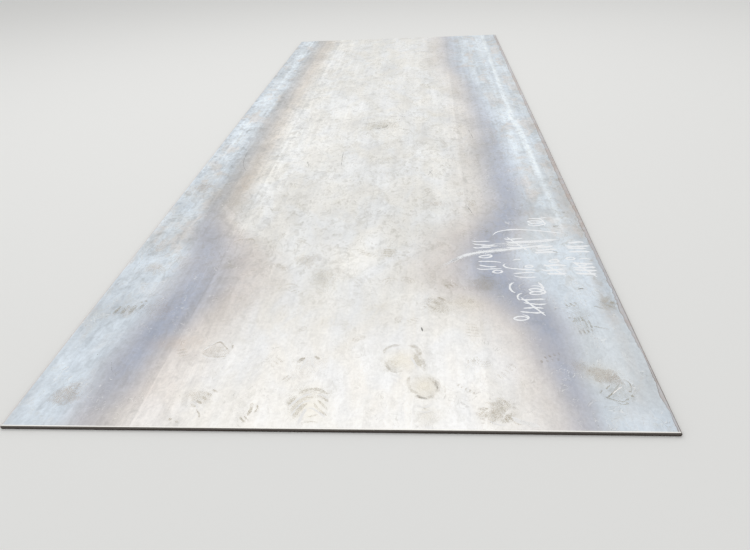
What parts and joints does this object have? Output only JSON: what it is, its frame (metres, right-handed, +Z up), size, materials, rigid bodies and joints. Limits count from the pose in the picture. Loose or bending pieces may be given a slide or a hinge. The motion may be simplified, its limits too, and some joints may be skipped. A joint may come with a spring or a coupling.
{
  "type": "steel plate",
  "caption": "Flat rectangular hot-rolled steel plate with round mill edges along its length and sheared ends, for cutting, welding or bearing.",
  "frame": {"origin": "centre of the underside, on the plane that the plate lies on", "axes": "+X across the width, +Y along the rolling direction and the length, +Z up through the thickness; the front end, at -Y, is the one nearest the camera in the picture"},
  "size_m": [1.51, 4.29, 0.0098],
  "materials": {
    "mill_scale": "hot-rolled mill scale, satin, blue-grey along both sides and warm grey in the middle, with darker sheared ends"
  },
  "bodies": {
    "root": {"plate": "mill_scale"}
  },
  "joints": []
}
